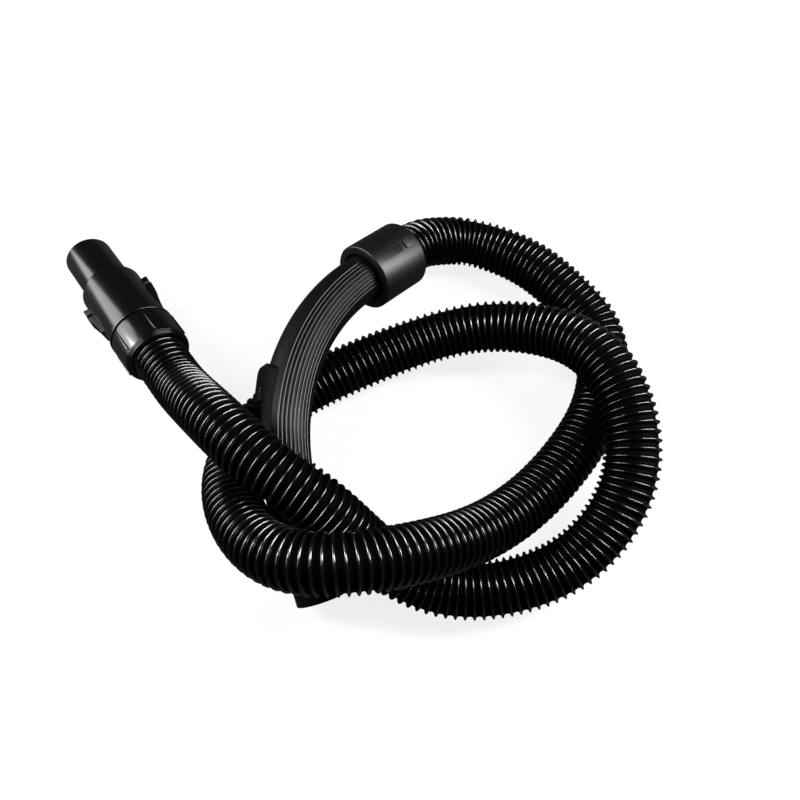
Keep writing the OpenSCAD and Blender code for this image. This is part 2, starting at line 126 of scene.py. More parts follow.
def add_node(tree: bpy.types.NodeTree, kind: str, settings: dict | None = None,
             **links: object) -> bpy.types.Node:
    """Adds a node with its settings, input values and links.

    Args:
        tree: The material's node tree.
        kind: The node's type name.
        settings: Values of the node's own properties.
        links: For each input, its name with spaces as underscores: a value, or an output socket.

    Returns:
        The new node.
    """
    node = tree.nodes.new(kind)
    for key, value in (settings or {}).items():
        setattr(node, key, value)
    for key, value in links.items():
        socket = (node.inputs[int(key[1:])] if key[0] == "n" and key[1:].isdigit()
                  else node.inputs[key.replace("_", " ")])
        if isinstance(value, bpy.types.NodeSocket):
            tree.links.new(value, socket)
        else:
            socket.default_value = value
    return node


def empty_material(name: str) -> tuple[bpy.types.Material, bpy.types.NodeTree]:
    """A new material with no nodes.

    Args:
        name: The material's name.

    Returns:
        The material and its node tree.
    """
    material = bpy.data.materials.new(name)
    material.use_nodes = True
    material.node_tree.nodes.clear()
    return material, material.node_tree


class Surface:
    """A new material, put together from the few kinds of nodes that the finishes share."""

    def __init__(self, name: str) -> None:
        """Starts the material with no nodes.

        Args:
            name: The material's name.
        """
        self.material, self.tree = empty_material(name)

    def noise(self, size_mm: float, **inputs: float) -> bpy.types.NodeSocket:
        """A noise pattern that stays on its piece, with patches of this size."""
        place = add_node(self.tree, "ShaderNodeTexCoord").outputs["Object"]
        return add_node(self.tree, "ShaderNodeTexNoise", Vector=place,
                        Scale=1 / (size_mm * MM), **inputs).outputs["Fac"]

    def spread(self, value: bpy.types.NodeSocket, low: float, high: float,
               **inputs: float) -> bpy.types.NodeSocket:
        """A pattern spread from low to high; n1 and n2 say which part of it, if not all."""
        return add_node(self.tree, "ShaderNodeMapRange", Value=value, n3=low, n4=high,
                        **inputs).outputs["Result"]

    def blend(self, share: bpy.types.NodeSocket, first: str,
              second: str) -> bpy.types.NodeSocket:
        """A mix of two hex colours, by the second one's share."""
        return add_node(self.tree, "ShaderNodeMix", {"data_type": "RGBA"}, Factor=share,
                        n6=linear(first), n7=linear(second)).outputs[2]

    def bump(self, height: bpy.types.NodeSocket, strength: float,
             depth_mm: float) -> bpy.types.NodeSocket:
        """The surface's direction with a fine relief of this depth."""
        return add_node(self.tree, "ShaderNodeBump", Strength=strength,
                        Distance=depth_mm * MM, Height=height).outputs["Normal"]

    def close(self, **inputs: object) -> bpy.types.Material:
        """Adds the shader with its inputs and the output, and gives the finished material."""
        shader = add_node(self.tree, "ShaderNodeBsdfPrincipled", **inputs)
        add_node(self.tree, "ShaderNodeOutputMaterial", Surface=shader.outputs["BSDF"])
        return self.material


@dataclass(frozen=True)
class MouldedPlastic:
    """Injection-moulded plastic: a spark-eroded mould leaves an even fine grain.

    The grain blurs the reflections, and the mould's polish varies a little over the piece.
    """

    name: str
    colour: str
    worn: str
    roughness: float
    grain_mm: float
    grain_depth_mm: float
    specular: float = 0.5
    ior: float = 1.5

    def material(self) -> bpy.types.Material:
        """Makes the material of this finish."""
        face = Surface(self.name)
        grain = face.noise(self.grain_mm, Detail=2.0, Roughness=0.6)
        # polish of the mould: patches 25 mm across, and fine handling marks 3 mm across
        patch = face.noise(25, Detail=3.0)
        marks = face.noise(3, Detail=4.0, Roughness=0.7)
        rubbed = face.spread(marks, 0.0, 0.35, n1=0.58, n2=0.8)
        return face.close(
            Base_Color=face.blend(rubbed, self.colour, self.worn),
            Roughness=face.spread(patch, self.roughness - 0.05, self.roughness + 0.05),
            IOR=self.ior, Specular_IOR_Level=self.specular,
            Normal=face.bump(grain, 0.35, self.grain_depth_mm))


@dataclass(frozen=True)
class HosePlastic:
    """Soft EVA wound as a hose: shiny black fins with faint pulling lines and a scuffed crown.

    It reads the piece's own attribute "crown", 0 in a valley and 1 on a fin's edge.
    """

    name: str
    colour: str
    crown: str
    roughness: float
    specular: float = 0.5
    ior: float = 1.49

    def material(self) -> bpy.types.Material:
        """Makes the material of this finish."""
        face = Surface(self.name)
        height = add_node(face.tree, "ShaderNodeAttribute", {"attribute_name": "crown"})
        # cooling unevenness of the extruded strip, 1.5 mm across, and duller stretches 40 mm long
        ripple = face.noise(1.5, Detail=2.0)
        stretch = face.noise(40, Detail=2.0)
        scuff = add_node(face.tree, "ShaderNodeMath", {"operation": "MULTIPLY"},
                         n0=height.outputs["Fac"], n1=ripple)
        return face.close(
            Base_Color=face.blend(scuff.outputs["Value"], self.colour, self.crown),
            Roughness=face.spread(stretch, self.roughness - 0.04, self.roughness + 0.06),
            IOR=self.ior, Specular_IOR_Level=self.specular,
            Normal=face.bump(ripple, 0.12, 0.05))


@dataclass(frozen=True)
class PressedFelt:
    """Pressed wool felt: tangled grey fibres, matt, with a fuzzy sheen."""

    name: str
    colour: str
    fibre: str

    def material(self) -> bpy.types.Material:
        """Makes the material of this finish."""
        face = Surface(self.name)
        # clumps of fibres about 0.6 mm across
        tangle = face.noise(0.6, Detail=5.0, Roughness=0.8)
        return face.close(Base_Color=face.blend(tangle, self.colour, self.fibre), Roughness=0.95,
                          Sheen_Weight=0.4, Normal=face.bump(tangle, 0.6, 0.2))


class Finish(Enum):
    """The finishes of the hose's pieces.

    A moulded plastic is given by its two blacks, roughness, grain size and depth, and gloss.
    """

    # satin ABS of the connector: fine grain, a broad soft highlight
    SATIN = MouldedPlastic("moulded_abs_satin_black", "#050506", "#0c0c0d", 0.2, 0.5, 0.02)
    # the collar's coarser spark-eroded face, a shade rougher
    GRAINED = MouldedPlastic("moulded_abs_grained_black", "#060607", "#0e0e10", 0.42, 0.55, 0.06,
                             0.36)
    # the handle's tube: a fine spark-eroded face that stays dark
    HANDLE = MouldedPlastic("moulded_abs_handle_black", "#040405", "#0a0a0b", 0.5, 0.5, 0.04, 0.12)
    # the tops of the handle's ridges, polished in the mould
    RIDGE = MouldedPlastic("moulded_abs_polished_ridge", "#040405", "#0c0c0d", 0.2, 0.5, 0.02, 0.2)
    # the slider's housing, soft to the touch and nearly without shine
    HOUSING = MouldedPlastic("moulded_abs_soft_matt_black", "#030303", "#060607", 0.6, 0.6, 0.04,
                             0.05)
    # acetal of the latches and the slider: duller and darker
    LATCH = MouldedPlastic("moulded_acetal_dull_black", "#050506", "#0b0b0c", 0.45, 0.6, 0.05, 0.2)
    # polypropylene of the sleeves that hold the hose
    SLEEVE = MouldedPlastic("moulded_polypropylene_black", "#0a0a0b", "#131314", 0.38, 0.6, 0.04)
    # natural acetal of the bearing washer
    WASHER = MouldedPlastic("moulded_acetal_white", "#dcdad2", "#cfccc2", 0.4, 0.6, 0.03)
    # the fins' edges are glazed by the die; the web between them is matt, with painted shade: a
    # darker black with almost no shine, for the shade the fins cast on it
    HOSE = HosePlastic("extruded_eva_gloss_black", "#020202", "#060607", 0.17, 0.9)
    WEB = HosePlastic("extruded_eva_web_painted_shade", "#010101", "#020202", 0.65, 0.02)
    FELT = PressedFelt("pressed_felt_grey", "#3a3a3c", "#5a5a5c")


class Paints:
    """Makes each finish's material once."""

    def __init__(self) -> None:
        """Starts with no material made."""
        self.made: dict[Finish, bpy.types.Material] = {}

    def of(self, finish: Finish) -> bpy.types.Material:
        """The material of a finish.

        Args:
            finish: The finish.

        Returns:
            Its material, made at the first call.
        """
        if finish not in self.made:
            self.made[finish] = finish.value.material()
        return self.made[finish]

    def coat(self, piece: bpy.types.Object, finish: Finish) -> bpy.types.Object:
        """Gives a piece one finish all over.

        Args:
            piece: The mesh object.
            finish: Its finish.

        Returns:
            The same object.
        """
        piece.data.materials.clear()
        piece.data.materials.append(self.of(finish))
        return piece


# ---------------- modelling

def deselect() -> None:
    """Leaves edit mode and selects nothing."""
    if bpy.context.object is not None and bpy.context.object.mode != "OBJECT":
        bpy.ops.object.mode_set(mode="OBJECT")
    bpy.ops.object.select_all(action="DESELECT")


def pick(piece: bpy.types.Object) -> None:
    """Selects one piece alone and makes it active.

    Args:
        piece: The mesh object.
    """
    deselect()
    piece.select_set(True)
    bpy.context.view_layer.objects.active = piece


def filleted(outline: Outline) -> list[tuple[float, float]]:
    """Rounds the corners of a closed outline.

    Args:
        outline: Corners as (x, y) or (x, y, radius).

    Returns:
        The points of the rounded outline.
    """
    points: list[tuple[float, float]] = []
    count = len(outline)
    for i, corner in enumerate(outline):
        radius = corner[2] if len(corner) > 2 else 0.0
        here = Vector(corner[:2])
        back = Vector(outline[i - 1][:2]) - here
        ahead = Vector(outline[(i + 1) % count][:2]) - here
        if radius <= 0 or back.length < 1e-9 or ahead.length < 1e-9:
            points.append(tuple(here))
            continue
        half = back.angle(ahead) / 2
        reach = min(radius / math.tan(half), 0.49 * back.length, 0.49 * ahead.length)
        radius = reach * math.tan(half)
        middle = here + (back.normalized() + ahead.normalized()).normalized() * (
            radius / math.sin(half))
        first = here + back.normalized() * reach - middle
        last = here + ahead.normalized() * reach - middle
        turn = first.angle_signed(last)
        steps = max(2, int(abs(turn) / math.radians(22)) + 1)
        for k in range(steps + 1):
            a = -turn * k / steps
            points.append((middle.x + first.x * math.cos(a) - first.y * math.sin(a),
                           middle.y + first.x * math.sin(a) + first.y * math.cos(a)))
    return points


def finish_mesh(piece: bpy.types.Object, angle: float = 32, merge: bool = True) -> None:
    """Merges doubles, turns the faces outwards and shades the piece smooth by angle.

    Args:
        piece: The mesh object, in millimetres or metres.
        angle: Edges sharper than this many degrees stay sharp.
        merge: Whether doubled points are merged and faces turned.
    """
    pick(piece)
    if merge:
        bpy.ops.object.mode_set(mode="EDIT")
        bpy.ops.mesh.select_all(action="SELECT")
        bpy.ops.mesh.remove_doubles(threshold=MERGE)
        bpy.ops.mesh.normals_make_consistent(inside=False)
        bpy.ops.object.mode_set(mode="OBJECT")
    bpy.ops.object.shade_smooth_by_angle(angle=math.radians(angle))


def loop_piece(name: str, points: list[Place]) -> bpy.types.Object:
    """A circle shaped to a closed loop of points.

    Args:
        name: The piece's name.
        points: The loop's points in scene metres.

    Returns:
        The object, a wire loop.
    """
    deselect()
    bpy.ops.mesh.primitive_circle_add(vertices=len(points), radius=0.01, fill_type="NOTHING")
    piece = bpy.context.object
    piece.name = name
    for vertex, point in zip(piece.data.vertices, points):
        vertex.co = point
    return piece


def turned(name: str, outline: Outline, place: Matrix, steps: int = 96) -> bpy.types.Object:
    """A piece turned on a lathe: its outline spun round Z, then put in its place.

    Args:
        name: The piece's name.
        outline: Corners of its section as (radius, z) or (radius, z, rounding).
        place: The matrix to the scene.
        steps: Number of steps round.

    Returns:
        The finished object.
    """
    piece = loop_piece(name, [(r * MM, 0, z * MM) for r, z in filleted(outline)])
    bpy.ops.object.mode_set(mode="EDIT")
    bpy.ops.mesh.select_all(action="SELECT")
    bpy.ops.mesh.spin(steps=steps, angle=2 * math.pi, center=(0, 0, 0), axis=(0, 0, 1))
    bpy.ops.object.mode_set(mode="OBJECT")
    finish_mesh(piece)
    piece.data.transform(place @ Matrix.Scale(1 / MM, 4))
    return piece


def block(name: str, low: Place, high: Place, rounding: float) -> bpy.types.Object:
    """A box with rounded edges, in millimetres of its own frame.

    Args:
        name: The piece's name.
        low: Its lowest corner.
        high: Its highest corner.
        rounding: Radius of its edges.

    Returns:
        The object, still in millimetres.
    """
    deselect()
    bpy.ops.mesh.primitive_cube_add(size=1, location=(0, 0, 0))
    piece = bpy.context.object
    piece.name = name
    size = Vector(high) - Vector(low)
    piece.data.transform(Matrix.Translation((Vector(low) + Vector(high)) / 2)
                         @ Matrix.Diagonal((*size, 1)))
    bpy.ops.object.mode_set(mode="EDIT")
    bpy.ops.mesh.select_all(action="SELECT")
    bpy.ops.mesh.bevel(offset=rounding, segments=3, affect="EDGES")
    bpy.ops.object.mode_set(mode="OBJECT")
    return piece


def cut(piece: bpy.types.Object, tool: bpy.types.Object) -> None:
    """Cuts a tool's shape out of a piece and removes the tool.

    Args:
        piece: The mesh object.
        tool: The closed shape that is cut out.
    """
    pick(piece)
    modifier = piece.modifiers.new("cut", "BOOLEAN")
    modifier.operation = "DIFFERENCE"
    modifier.solver = "EXACT"
    modifier.object = tool
    bpy.ops.object.modifier_apply(modifier=modifier.name)
    bpy.data.objects.remove(tool)


def soften(piece: bpy.types.Object, width: float, angle: float = 40) -> None:
    """Rounds a piece's sharp edges with a bevel.

    Args:
        piece: The mesh object, in metres.
        width: Width of the bevel in millimetres.
        angle: Edges sharper than this many degrees are rounded.
    """
    pick(piece)
    modifier = piece.modifiers.new("edges", "BEVEL")
    modifier.width = width * MM
    modifier.segments = 2
    modifier.limit_method = "ANGLE"
    modifier.angle_limit = math.radians(angle)
    modifier.use_clamp_overlap = True
    modifier.harden_normals = False
    bpy.ops.object.modifier_apply(modifier=modifier.name)


def softened_copy(node: str, name: str, width: float) -> bpy.types.Object:
    """A copy of a CAD node with its edges rounded.

    Args:
        node: The CAD node.
        name: The new piece's name.
        width: Width of the rounding in millimetres.

    Returns:
        The finished object.
    """
    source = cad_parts[node]
    piece = bpy.data.objects.new(name, source.data.copy())
    bpy.context.scene.collection.objects.link(piece)
    pick(piece)
    bpy.ops.object.mode_set(mode="EDIT")
    bpy.ops.mesh.select_all(action="SELECT")
    bpy.ops.mesh.remove_doubles(threshold=MERGE)
    bpy.ops.mesh.dissolve_limited(angle_limit=math.radians(1.5))
    bpy.ops.object.mode_set(mode="OBJECT")
    soften(piece, width)
    finish_mesh(piece, 35, merge=False)
    return piece


# ---------------- the hose

@dataclass
class RibbedHose:
    """The flexible hose: a thin wall with a fin wound round it, laid in its loops."""

    length: float = 1592.2
    radius: float = 20.0
    bore: float = 16.0
    turns: int = 285
    sides: int = 28
    insert: float = 20.0
    # one turn of the fin: share of the pitch, radius and height of the crown attribute
    fin: list[tuple[float, float, float]] = field(default_factory=lambda: [
        (0.00, 17.7, 0.1), (0.07, 18.5, 0.4), (0.12, 19.3, 0.8), (0.17, 19.82, 1.0),
        (0.24, 20.0, 1.0), (0.31, 19.82, 1.0), (0.36, 19.3, 0.8), (0.41, 18.5, 0.4),
        (0.48, 17.7, 0.1), (0.74, 17.35, 0.0)])
    # the route's middle points; straight leads on the two fittings' axes are added to them
    middle: list[Place] = field(default_factory=lambda: [
        (0, -34, 81), (36, -71, 91), (80, -96, 75), (109, -118, 35),
        (153, -140, 18), (204, -138, 22), (252, -120, 29), (286, -78, 48), (291, -29, 61),
        (274, 25, 64), (237, 55, 46), (185, 66, 31), (133, 54, 20), (82, 30, 21),
        (33, 3, 20), (3, -44, 27), (12, -91, 53), (45, -132, 80), (93, -138, 92),
        (142, -124, 71), (182, -105, 42), (221, -76, 24), (255, -39, 21), (284, 5, 20),
        (290, 68, 20), (263, 96, 26), (236, 131, 24), (187, 158, 17.4), (155.8, 149.3, 26.6)])

    def line(self) -> np.ndarray:
        """The hose's middle line as closely spaced points, in millimetres."""
        start = machine_frame() @ Vector((0, 0, MACHINE_LEN)) / MM
        along = np.array((machine_frame().to_3x3() @ Vector((0, 0, 1))).normalized())
        end = wand_frame().translation / MM
        out = np.array((wand_frame().to_3x3() @ Vector((1, 0, 0))).normalized())
        # control points this far apart along both fittings' axes keep the ends straight
        gap = 20
        steps = [k * gap for k in range(4)]
        points = np.array(
            [np.array(start) + (d - self.insert) * along for d in (-gap, *steps)] + self.middle
            + [np.array(end) - (2 * gap - d - self.insert) * out for d in steps], float)
        # each span of the uniform cubic B-spline, in 40 steps
        u = np.linspace(0, 1, 40, endpoint=False)[:, None]
        spans = [((1 - u) ** 3 * points[i] + (3 * u ** 3 - 6 * u ** 2 + 4) * points[i + 1]
                  + (-3 * u ** 3 + 3 * u ** 2 + 3 * u + 1) * points[i + 2]
                  + u ** 3 * points[i + 3]) / 6 for i in range(len(points) - 3)]
        return np.vstack(spans + [points[-2:-1]])

    def carried_frames(self, line: np.ndarray) -> tuple[np.ndarray, np.ndarray, np.ndarray]:
        """Length along the line, its heading and a side direction that turns with no twist.

        Args:
            line: The middle line's points.

        Returns:
            Running length, headings and side directions, one for each point.
        """
        step = np.diff(line, axis=0)
        run = np.concatenate(([0.0], np.cumsum(np.linalg.norm(step, axis=1))))
        heading = np.gradient(line, run, axis=0)
        heading /= np.linalg.norm(heading, axis=1)[:, None]
        side = np.empty_like(line)
        side[0] = np.cross(heading[0], (0, 0, 1))
        side[0] /= np.linalg.norm(side[0])
        for i in range(1, len(line)):
            s = side[i - 1] - heading[i] * (side[i - 1] @ heading[i])
            side[i] = s / np.linalg.norm(s)
        return run, heading, side

    def surface(self, rows: list[tuple[float, float]], run: np.ndarray, line: np.ndarray,
                heading: np.ndarray, side: np.ndarray, pitch: float) -> np.ndarray:
        """Points of a wound surface: each row of points advances by one pitch in a turn.

        Args:
            rows: Each row's place along the hose and its radius.
            run: Running length of the middle line's points.
            line: The middle line's points.
            heading: Its headings.
            side: Its side directions.
            pitch: Advance of one turn.

        Returns:
            The points, row by row, in millimetres.
        """
        angle = np.arange(self.sides) * 2 * math.pi / self.sides
        advance = pitch * np.arange(self.sides) / self.sides
        s = np.clip(np.array([r[0] for r in rows])[:, None] + advance[None, :], 0, run[-1])
        radius = np.array([r[1] for r in rows])[:, None, None]
        at = [np.stack([np.interp(s, run, v[:, k]) for k in range(3)], -1)
              for v in (line, heading, side)]
        up = np.cross(at[1], at[2])
        c, d = np.cos(angle)[None, :, None], np.sin(angle)[None, :, None]
        return at[0] + radius * (c * at[2] + d * up)

    def skin(self, count: int, turn: int, first: int, inward: bool) -> list[list[int]]:
        """Faces of a wound surface; a row meets the row one turn on at the seam.

        Args:
            count: Number of its rows.
            turn: Rows in one turn.
            first: Index of its first point.
            inward: Whether its faces look to the middle line.

        Returns:
            The faces, each as its points' indices.
        """
        n = self.sides
        faces = []
        for k in range(count - 1):
            # the last turn has no next turn to meet at the seam, so it stops before it
            meets = k < count - turn - 1
            for i in range(n if meets else n - 1):
                j, up = (i + 1, 0) if i + 1 < n else (0, turn)
                quad = [first + k * n + i, first + (k + 1) * n + i,
                        first + (k + 1 + up) * n + j, first + (k + up) * n + j]
                faces.append(quad if inward else quad[::-1])
        return faces

    def ends(self, rows: int, bores: int) -> list[list[int]]:
        """Faces that close the wall at the hose's two ends.

        Args:
            rows: Number of rows of the outer surface.
            bores: Number of rows of the bore.

        Returns:
            The faces, each as its points' indices.
        """
        n, ring = self.sides, len(self.fin)
        base = rows * n
        top, low = (rows - 1) * n, base + (bores - 1) * n
        faces = []
        for i in range(n - 1):
            faces.append([i, i + 1, base + i + 1, base + i])
            faces.append([top + i, low + i, low + i + 1, top + i + 1])
        # the seam's step at each end, where the wound surface starts and stops
        faces.append([n - 1, ring * n, base + n, base + n - 1])
        faces.append([k * n for k in range(ring + 1)] + [base + n, base])
        faces.append([top - ring * n + n - 1, top, low, low - 1])
        faces.append([top - k * n + n - 1 for k in range(ring, -1, -1)] + [low + n - 1, low - 1])
        return faces

    def dress(self, piece: bpy.types.Object, paints: Paints) -> None:
        """Gives the fins their gloss, and the web between them its matt face with painted shade.

        Args:
            piece: The hose.
            paints: The finishes' materials.
        """
        paints.coat(piece, Finish.HOSE)
        # a second slot for the web: painted shade between the fins, darker and almost without
        # shine
        piece.data.materials.append(paints.of(Finish.WEB))
        crown = piece.data.attributes["crown"].data
        for face in piece.data.polygons:
            if sum(crown[v].value for v in face.vertices) < 0.45 * len(face.vertices):
                face.material_index = 1

    def build(self) -> bpy.types.Object:
        line = self.line()
        run, heading, side = self.carried_frames(line)
        pitch = run[-1] / (self.turns + 1)
        rows = [((k + u) * pitch, r) for k in range(self.turns) for u, r, _ in self.fin]
        rows.append((self.turns * pitch, self.fin[0][1]))
        crown = [c for _ in range(self.turns) for _, _, c in self.fin] + [0.0]
        bores = [(k * pitch, self.bore) for k in range(self.turns + 1)]
        outer = self.surface(rows, run, line, heading, side, pitch)
        inner = self.surface(bores, run, line, heading, side, pitch)
        faces = (self.skin(len(rows), len(self.fin), 0, False)
                 + self.skin(len(bores), 1, len(rows) * self.sides, True)
                 + self.ends(len(rows), len(bores)))
        mesh = bpy.data.meshes.new("ribbed_hose")
        mesh.from_pydata(np.vstack([outer.reshape(-1, 3), inner.reshape(-1, 3)]) * MM, [], faces)
        mesh.attributes.new("crown", "FLOAT", "POINT").data.foreach_set(
            "value", np.repeat(crown + [0.0] * len(bores), self.sides))
        piece = bpy.data.objects.new("ribbed_hose", mesh)
        bpy.context.scene.collection.objects.link(piece)
        shape = bmesh.new()
        shape.from_mesh(mesh)
        bmesh.ops.recalc_face_normals(shape, faces=shape.faces)
        shape.to_mesh(mesh)
        shape.free()
        finish_mesh(piece, 180, merge=False)
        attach(piece, "hose_and_handle")
        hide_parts("hose")
        return piece


# ---------------- the machine connector

@dataclass
class MachineConnector:
    """The end that pushes into the machine: spigot, body, latches and turning cuff."""

    spigot_r: float = SPIGOT_R
    spigot_wall: float = 2.0
    core_r: float = 18.5
    flange_r: float = 23.0
    body_r: float = 24.0
    shell_in: float = 22.0
    ring_r: float = 25.5
    cuff_r: float = 25.3
    cuff_in: float = 23.3
    cuff_bore: float = 18.6
    step_r: float = 24.3
    step_bore: float = 20.3
    # places along the axis, from the spigot's tip
    body_at: float = 44.0
    ring_at: float = 104.0
    cuff_at: float = 109.0
    flange_at: float = 112.1
    step_at: float = 134.0
    end: float = MACHINE_LEN
    # the grip bars: degrees round the cuff, half width, rise over the cuff, and both ends
    bars: tuple[int, ...] = (160, 220, 280, 340, 40, 100)
    bar_half: float = 1.2
    bar_rise: float = 0.7
    bar_low: float = 110.0
    bar_high: float = 132.5
    # a latch's finger pad: where it starts and its length
    pad_at: float = 68.0
    pad_len: float = 21.0

    def spigot(self) -> bpy.types.Object:
        """The air tube with its rounded nose and swivel flange."""
        r, inner, core = self.spigot_r, self.spigot_r - self.spigot_wall, self.core_r
        flange, end = self.flange_at, self.flange_at + 2
        return turned("spigot", [
            (inner, 0, 0.9), (r, 0, 0.9), (r, self.body_at), (core, self.body_at), (core, flange),
            (self.flange_r, flange, 0.3), (self.flange_r, end, 0.3), (inner, end)],
            machine_frame(), 128)

    def body(self) -> bpy.types.Object:
        """The body's shell, with a window in each side for its latch."""
        r, inner, front, rear = self.body_r, self.shell_in, self.body_at, self.ring_at
        piece = turned("connector_body", [
            (self.spigot_r, front, 0.2), (20.6, front, 0.5), (r, front + 5, 0.9), (r, rear),
            (inner, rear), (inner, front + 3.6), (self.spigot_r, front + 3.6)],
            Matrix.Scale(MM, 4), 128)
        for side in (1, -1):
            low, high = sorted((side * 17.0, side * 28.0))
            tool = block("window", (-6, low, 52.2), (6, high, 109), 0.5)
            tool.data.transform(Matrix.Scale(MM, 4))
            cut(piece, tool)
        soften(piece, 0.25)
        finish_mesh(piece, 35, merge=False)
        piece.data.transform(machine_frame() @ Matrix.Scale(1 / MM, 4))
        return piece

    def rear_ring(self) -> bpy.types.Object:
        """The ring that closes the body's rear."""
        inner, r, at, end = self.spigot_r, self.ring_r, self.ring_at, self.ring_at + 3.5
        return turned("body_ring", [
            (inner, at), (self.body_r, at), (r, at + 0.75, 0.4), (r, end, 0.6), (inner, end)],
            machine_frame(), 128)

    def cuff(self) -> bpy.types.Object:
        """The turning cuff, a little narrower towards the hose."""
        bore, inner, r = self.cuff_bore, self.cuff_in, self.cuff_r
        at, end = self.cuff_at, self.step_at
        return turned("turning_cuff", [
            (bore, at), (r, at, 0.6), (r, at + 3, 3.0), (r - 0.5, end, 0.3), (inner, end),
            (inner, at + 2.2), (bore, at + 2.2)], machine_frame(), 128)

    def end_ring(self) -> bpy.types.Object:
        """The stepped ring at the cuff's hose end."""
        bore, r, at, end = self.step_bore, self.step_r, self.step_at, self.end
        half = (at + end) / 2
        return turned("cuff_step_ring", [
            (bore, at), (r, at, 0.2), (r, half, 0.4), (r - 1, half, 0.2), (r - 1, end, 0.5),
            (bore, end, 0.3)], machine_frame(), 128)

    def grip_bars(self) -> list[bpy.types.Object]:
        """The cuff's grip bars: one pill-ended bar, copied round the cuff."""
        half, low, high = self.bar_half, self.bar_low, self.bar_high
        first = block("grip_bar_1", (self.cuff_r - 1.2, -half, low),
                      (self.cuff_r + self.bar_rise, half, high), 0.55)
        # the block's ends are drawn in to half rounds, as the bar's ends are
        for vertex in first.data.vertices:
            over = max(low + half - vertex.co.z, vertex.co.z - (high - half), 0)
            vertex.co.y *= math.sqrt(max(0.02, 1 - (over / 1.25) ** 2))
        pieces = [first]
        for k in range(2, len(self.bars) + 1):
            pieces.append(bpy.data.objects.new(f"grip_bar_{k}", first.data.copy()))
            bpy.context.scene.collection.objects.link(pieces[-1])
        for piece, degrees in zip(pieces, self.bars):
            piece.data.transform(machine_frame() @ Matrix.Rotation(math.radians(degrees), 4, "Z"))
            finish_mesh(piece, 40, merge=False)
        return pieces

    def latch(self, node: str, name: str) -> bpy.types.Object:
        """A latch with its catch and finger pad set low on the body, the pad lowest at its rear.

        Args:
            node: The latch's CAD node.
            name: The new piece's name.

        Returns:
            The finished object.
        """
        piece = softened_copy(node, name, 0.35)
        piece.data.transform(machine_frame().inverted())
        for vertex in piece.data.vertices:
            over = abs(vertex.co.y) - self.body_r
            if over > 0:
                along = min(max((vertex.co.z - self.pad_at) / self.pad_len, 0), 1)
                # the share of the CAD latch's height over the body that is left
                keep = 0.78 - 0.5 * along
                vertex.co.y = math.copysign(self.body_r + over * keep, vertex.co.y)
        piece.data.transform(machine_frame())
        return piece

    def build(self, paints: Paints) -> list[bpy.types.Object]:
        """Builds and dresses the connector.

        Args:
            paints: The finishes' materials.

        Returns:
            The connector's pieces.
        """
        made = []
        for piece, body, node, finish, slot in (
                (self.spigot(), "machine_connector", "spigot_tube", Finish.SATIN, "satin_black"),
                (self.body(), "machine_connector", "body_shell", Finish.SATIN, "satin_black"),
                (self.rear_ring(), "machine_connector", "body_rear_ring", Finish.SATIN,
                 "satin_black"),
                (self.latch("latch_left", "left_latch_lever"), "left_latch",
                 "latch_left", Finish.LATCH, "latch_black"),
                (self.latch("latch_right", "right_latch_lever"), "right_latch",
                 "latch_right", Finish.LATCH, "latch_black"),
                (self.cuff(), "hose_and_handle", "swivel_cuff", Finish.SATIN, "satin_black"),
                (self.end_ring(), "hose_and_handle", "cuff_end_ring", Finish.SATIN,
                 "sleeve_black")):
            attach(paints.coat(piece, finish), body)
            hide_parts(node)
            made.append(piece)
        for bar in self.grip_bars():
            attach(paints.coat(bar, Finish.SATIN), "hose_and_handle")
            made.append(bar)
        return made


# ---------------- the wand end

